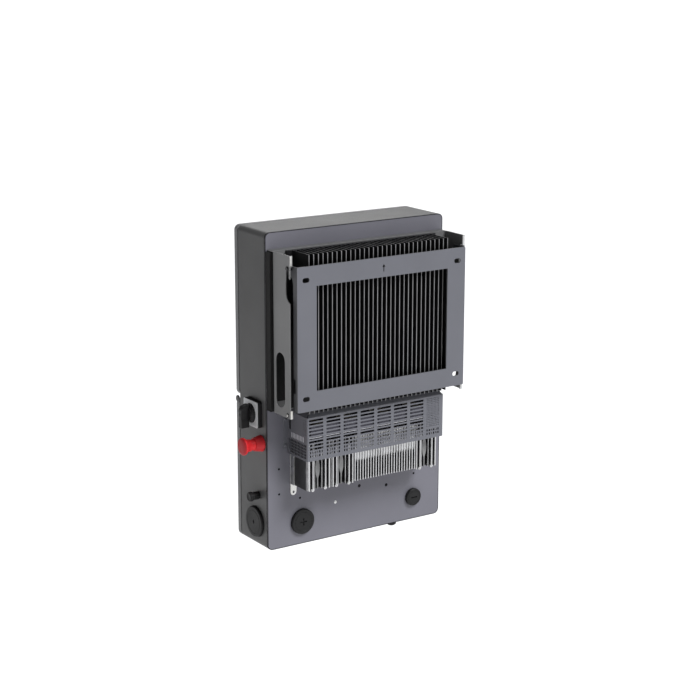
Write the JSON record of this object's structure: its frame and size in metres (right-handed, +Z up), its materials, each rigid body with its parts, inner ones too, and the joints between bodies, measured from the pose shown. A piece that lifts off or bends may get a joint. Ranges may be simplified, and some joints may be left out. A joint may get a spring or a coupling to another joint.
{
  "type": "string inverter",
  "caption": "Wall-hung three-phase string inverter: case with two covers, finned heat sink, fan cage, choke housing, rotary disconnect, stop button and hook-on wall plate.",
  "frame": {"origin": "middle of the wall plate's lower rail, on its back face, which lies on the wall", "axes": "+Y out of the back, into the wall; +Z up; +X to the side with the disconnect and the stop button"},
  "size_m": [0.5455, 0.2534, 0.772],
  "materials": {
    "paint": "dark grey fine-texture powder coat",
    "paint_back": "blue-grey satin powder coat",
    "black_metal": "black anodised",
    "aluminium": "bare, fine machined",
    "zinc": "bright zinc plated sheet",
    "steel": "bright turned steel",
    "dark_steel": "blackened turned steel",
    "black_plastic": "black moulded, lightly grained",
    "rubber": "black foam rubber",
    "grey_plastic": "light grey moulded",
    "red_plastic": "signal red, satin gloss",
    "board": "green solder mask",
    "lens": "smoked clear plastic",
    "orange_plastic": "orange moulded",
    "copper": "bare copper"
  },
  "bodies": {
    "wall_plate": {"wall_plate": "paint_back", "hanger_pin_right": "dark_steel", "hanger_pin_left": "dark_steel"},
    "inverter": {"chassis": "paint", "partition": "zinc", "upper_cover": "paint", "upper_cover_gasket": "rubber", "status_window": "lens", "lower_cover_gasket": "rubber", "rear_channel": "paint_back", "heat_sink_gasket": "rubber", "heat_sink": "black_metal", "fan_guard": "paint_back", "fan_tray": "zinc", "choke_cooler": "aluminium", "choke_bracket": "zinc", "disconnect_plate": "grey_plastic", "disconnect_switch": "black_plastic", "stop_collar": "red_plastic", "stop_contact_block": "black_plastic", "side_plug": "black_plastic", "rear_plug_large": "black_plastic", "rear_plug_small": "black_plastic", "vent_gland": "black_plastic", "bottom_gland": "black_plastic", "bottom_plug": "black_plastic", "power_board": "board", "dc_link_capacitors": "black_plastic", "ac_filter_board": "orange_plastic", "control_board": "board", "dc_terminals": "grey_plastic", "ac_terminals": "black_plastic", "surge_protector": "orange_plastic", "comms_board": "board", "earth_bar": "copper", "fan_frame_1": "black_plastic", "fan_frame_2": "black_plastic", "fan_frame_3": "black_plastic", "fan_frame_4": "black_plastic", "choke_can_1": "aluminium", "power_module_1": "grey_plastic", "choke_can_2": "aluminium", "power_module_2": "grey_plastic", "choke_can_3": "aluminium", "power_module_3": "grey_plastic"},
    "lower_cover": {"lower_cover": "paint", "cover_screw_1": "steel", "cover_screw_2": "steel", "cover_screw_3": "steel", "cover_screw_4": "steel"},
    "disconnect_knob": {"disconnect_knob": "black_plastic", "disconnect_shaft": "steel"},
    "stop_plunger": {"stop_stem": "red_plastic"},
    "stop_head": {"stop_head": "red_plastic"},
    "fan_rotor_1": {"fan_rotor_1": "aluminium"},
    "fan_rotor_2": {"fan_rotor_2": "aluminium"},
    "fan_rotor_3": {"fan_rotor_3": "aluminium"},
    "fan_rotor_4": {"fan_rotor_4": "aluminium"}
  },
  "joints": [
    {"name": "lift_off", "type": "slide", "parent": "wall_plate", "child": "inverter", "axis": [0, 0, 1], "range_m": [0, 0.03]},
    {"name": "lower_cover_pull", "type": "slide", "parent": "inverter", "child": "lower_cover", "axis": [0, -1, 0], "range_m": [0, 0.12]},
    {"name": "disconnect_turn", "type": "hinge", "parent": "inverter", "child": "disconnect_knob", "pos_m": [0.2455, -0.1625, -0.055], "axis": [1, 0, 0], "range_deg": [0, 90]},
    {"name": "stop_press", "type": "slide", "parent": "inverter", "child": "stop_plunger", "axis": [-1, 0, 0], "range_m": [0, 0.006], "stiffness_N_per_m": 400},
    {"name": "stop_twist", "type": "hinge", "parent": "stop_plunger", "child": "stop_head", "pos_m": [0.2455, -0.1356, -0.123], "axis": [1, 0, 0], "range_deg": [0, 40], "stiffness_Nm_per_rad": 0.02},
    {"name": "fan_spin_1", "type": "hinge", "parent": "inverter", "child": "fan_rotor_1", "pos_m": [-0.1395, -0.0675, -0.094], "axis": [0, 0, 1], "continuous": true},
    {"name": "fan_spin_2", "type": "hinge", "parent": "inverter", "child": "fan_rotor_2", "pos_m": [-0.0465, -0.0675, -0.094], "axis": [0, 0, 1], "continuous": true},
    {"name": "fan_spin_3", "type": "hinge", "parent": "inverter", "child": "fan_rotor_3", "pos_m": [0.0465, -0.0675, -0.094], "axis": [0, 0, 1], "continuous": true},
    {"name": "fan_spin_4", "type": "hinge", "parent": "inverter", "child": "fan_rotor_4", "pos_m": [0.1395, -0.0675, -0.094], "axis": [0, 0, 1], "continuous": true}
  ]
}
